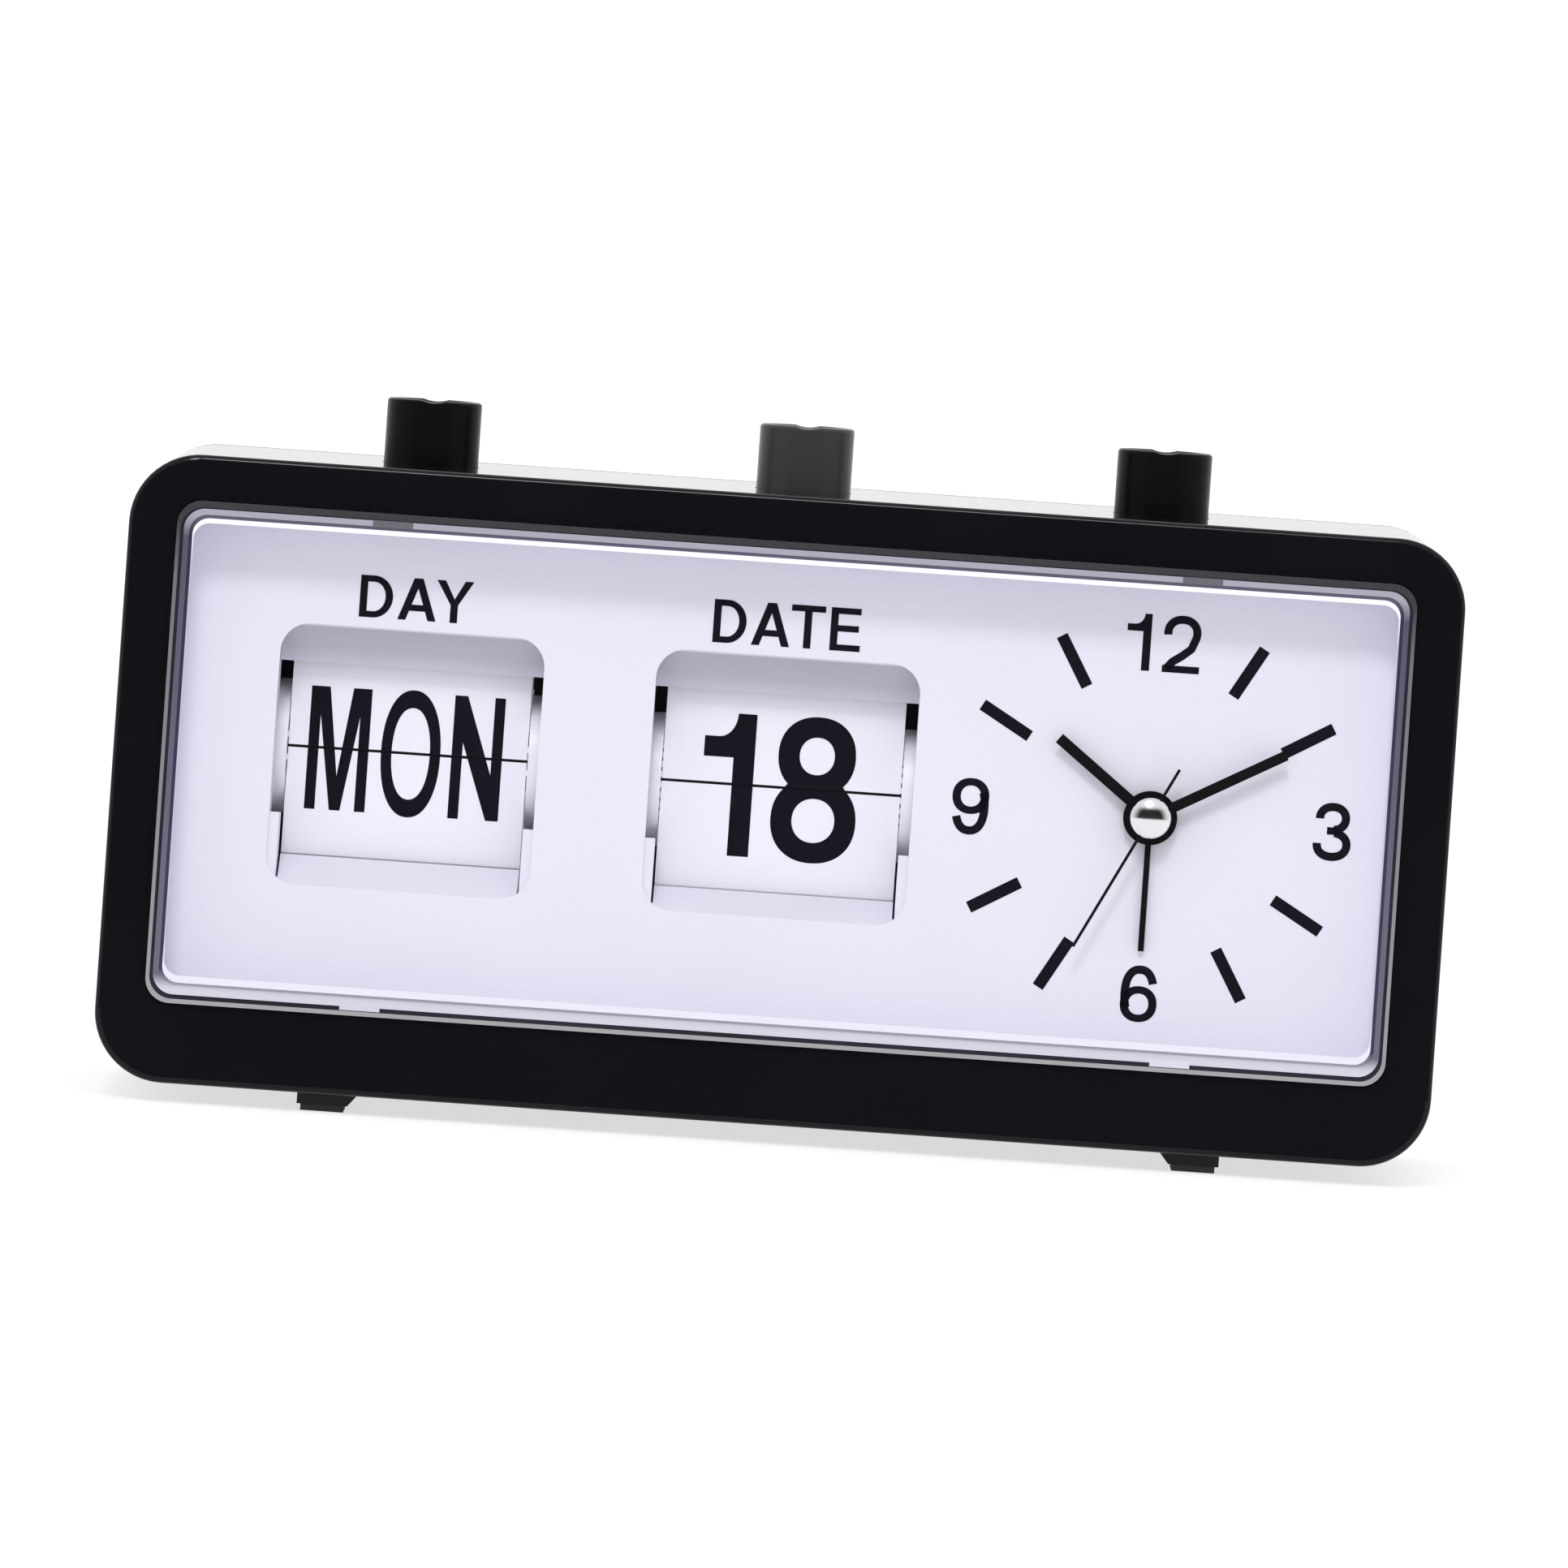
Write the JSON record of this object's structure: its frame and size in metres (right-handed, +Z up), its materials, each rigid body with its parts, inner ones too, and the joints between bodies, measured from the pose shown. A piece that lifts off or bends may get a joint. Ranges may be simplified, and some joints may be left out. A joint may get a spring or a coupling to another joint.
{
  "type": "dementia day clock",
  "caption": "Free-standing desk clock with flip day and date windows, an analogue alarm dial, push buttons on top, and setting knobs and a battery bay at the back.",
  "frame": {"origin": "middle of the footprint's bounding box, on the surface the rubber feet stand on", "axes": "+X to the right of someone facing the dial, +Y towards the back of the clock, +Z up"},
  "size_m": [0.18, 0.066, 0.0959],
  "materials": {
    "case_black": "glossy moulded black plastic",
    "cover_black": "fine-textured black plastic",
    "rubber_grey": "matt grey rubber",
    "screw_steel": "zinc-plated steel",
    "lens_clear": "clear moulded acrylic",
    "dial_white": "smooth white plastic",
    "clip_steel": "spring steel",
    "battery_jacket": "printed-free shrink film",
    "contact_steel": "nickel-plated spring steel",
    "buzzer_black": "black moulded plastic",
    "switch_grey": "grey moulded plastic",
    "frame_white": "natural white acetal",
    "movement_black": "black moulded plastic",
    "coil_copper": "enamelled copper winding",
    "board_green": "green circuit board",
    "wheel_white": "natural acetal",
    "knob_black": "black moulded plastic",
    "cap_chrome": "polished chrome",
    "hand_black": "black lacquered metal",
    "button_black": "satin black plastic",
    "button_grey": "satin dark grey plastic",
    "spring_steel": "drawn spring wire",
    "axle_steel": "ground steel rod",
    "drum_white": "white moulded plastic",
    "leaf_white": "thin white plastic sheet"
  },
  "bodies": {
    "case": {"front_case": "case_black", "rear_cover": "cover_black", "foot_pads": "rubber_grey", "case_screws": "screw_steel", "lens": "lens_clear", "dial_plate": "dial_white", "dial_screws": "screw_steel", "stake_washers": "clip_steel", "axle_clips": "clip_steel", "battery": "battery_jacket", "battery_contacts": "contact_steel", "alarm_buzzer": "buzzer_black", "snooze_switch": "buzzer_black", "button_guides": "frame_white", "movement_case": "movement_black", "movement_cover": "movement_black", "movement_screws": "screw_steel", "drive_coil": "coil_copper", "circuit_board": "board_green", "day_frame": "frame_white", "date_frame": "frame_white", "day_axle": "axle_steel", "date_axle": "axle_steel", "day_button_spring": "spring_steel", "date_button_spring": "spring_steel", "snooze_button_spring": "spring_steel"},
    "day_button": {"day_button": "button_black", "day_pawl": "frame_white"},
    "date_button": {"date_button": "button_grey", "date_pawl": "frame_white"},
    "snooze_button": {"snooze_button": "button_black"},
    "day_drum": {"day_drum": "drum_white", "day_leaf_upper": "leaf_white", "day_leaf_pack": "leaf_white"},
    "date_drum": {"date_drum": "drum_white", "date_leaf_upper": "leaf_white", "date_leaf_pack": "leaf_white"},
    "day_leaf_lower": {"day_leaf_lower": "leaf_white"},
    "date_leaf_lower": {"date_leaf_lower": "leaf_white"},
    "time_stem": {"time_set_stem": "wheel_white", "time_set_knob": "knob_black"},
    "alarm_stem": {"alarm_set_stem": "wheel_white", "alarm_set_knob": "knob_black"},
    "minute": {"cannon_pinion": "wheel_white", "minute_hand": "hand_black"},
    "hour": {"hour_wheel": "wheel_white", "hour_hand": "hand_black"},
    "second": {"second_shaft": "wheel_white", "second_hand": "hand_black", "hand_cap": "cap_chrome"},
    "alarm": {"alarm_wheel": "wheel_white", "alarm_hand": "hand_black"},
    "battery_door": {"battery_door": "cover_black"},
    "alarm_switch": {"alarm_switch": "switch_grey"}
  },
  "joints": [
    {"name": "day_button_press", "type": "slide", "parent": "case", "child": "day_button", "axis": [0, 0, -1], "range_m": [0, 0.00356], "stiffness_N_per_m": 150, "springref_m": -0.002, "deforming": ["day_button_spring"]},
    {"name": "date_button_press", "type": "slide", "parent": "case", "child": "date_button", "axis": [0, 0, -1], "range_m": [0, 0.00162], "stiffness_N_per_m": 150, "springref_m": -0.002, "deforming": ["date_button_spring"]},
    {"name": "snooze_button_press", "type": "slide", "parent": "case", "child": "snooze_button", "axis": [0, 0, -1], "range_m": [0, 0.002], "stiffness_N_per_m": 150, "springref_m": -0.002, "deforming": ["snooze_button_spring"]},
    {"name": "day_drum_step", "type": "hinge", "parent": "case", "child": "day_drum", "pos_m": [-0.0509, -0.00747, 0.04785], "axis": [1, 0, 0], "range_deg": [0, 25.71]},
    {"name": "day_leaf_flip", "type": "hinge", "parent": "day_drum", "child": "day_leaf_lower", "pos_m": [-0.0509, -0.01436, 0.04666], "axis": [-1, 0, 0], "range_deg": [0, 160]},
    {"name": "date_drum_step", "type": "hinge", "parent": "case", "child": "date_drum", "pos_m": [-0.0001, -0.00752, 0.04676], "axis": [1, 0, 0], "range_deg": [0, 11.61]},
    {"name": "date_leaf_flip", "type": "hinge", "parent": "date_drum", "child": "date_leaf_lower", "pos_m": [-0.0001, -0.01451, 0.04642], "axis": [-1, 0, 0], "range_deg": [0, 160]},
    {"name": "time_knob_turn", "type": "hinge", "parent": "case", "child": "time_stem", "pos_m": [0.03941, 0.03265, 0.03802], "axis": [0, 0.9986, -0.0523], "continuous": true},
    {"name": "minute_turn", "type": "hinge", "parent": "case", "child": "minute", "pos_m": [0.0498, -0.0231, 0.04695], "axis": [0, 0.9986, -0.0523], "continuous": true},
    {"name": "hour_turn", "type": "hinge", "parent": "case", "child": "hour", "pos_m": [0.0498, -0.0231, 0.04695], "axis": [0, 0.9986, -0.0523], "continuous": true},
    {"name": "second_turn", "type": "hinge", "parent": "case", "child": "second", "pos_m": [0.0498, -0.0231, 0.04695], "axis": [0, 0.9986, -0.0523], "continuous": true},
    {"name": "alarm_knob_turn", "type": "hinge", "parent": "case", "child": "alarm_stem", "pos_m": [0.06144, 0.03261, 0.0373], "axis": [0, 0.9986, -0.0523], "continuous": true},
    {"name": "alarm_hand_turn", "type": "hinge", "parent": "case", "child": "alarm", "pos_m": [0.0498, -0.0231, 0.04695], "axis": [0, 0.9986, -0.0523], "continuous": true},
    {"name": "battery_door_open", "type": "hinge", "parent": "case", "child": "battery_door", "pos_m": [-0.02, 0.02377, 0.0094], "axis": [-1, 0, 0], "range_deg": [0, 90]},
    {"name": "alarm_switch_slide", "type": "slide", "parent": "case", "child": "alarm_switch", "axis": [1, 0, 0], "range_m": [0, 0.004]}
  ],
  "couplings": [
    {"joint": "day_drum_step", "follows": "day_button_press", "rad_per_m": 126.07},
    {"joint": "date_drum_step", "follows": "date_button_press", "rad_per_m": 125.19},
    {"joint": "minute_turn", "follows": "time_knob_turn", "ratio": -3},
    {"joint": "hour_turn", "follows": "time_knob_turn", "ratio": -0.25},
    {"joint": "alarm_hand_turn", "follows": "alarm_knob_turn", "ratio": -0.4}
  ]
}
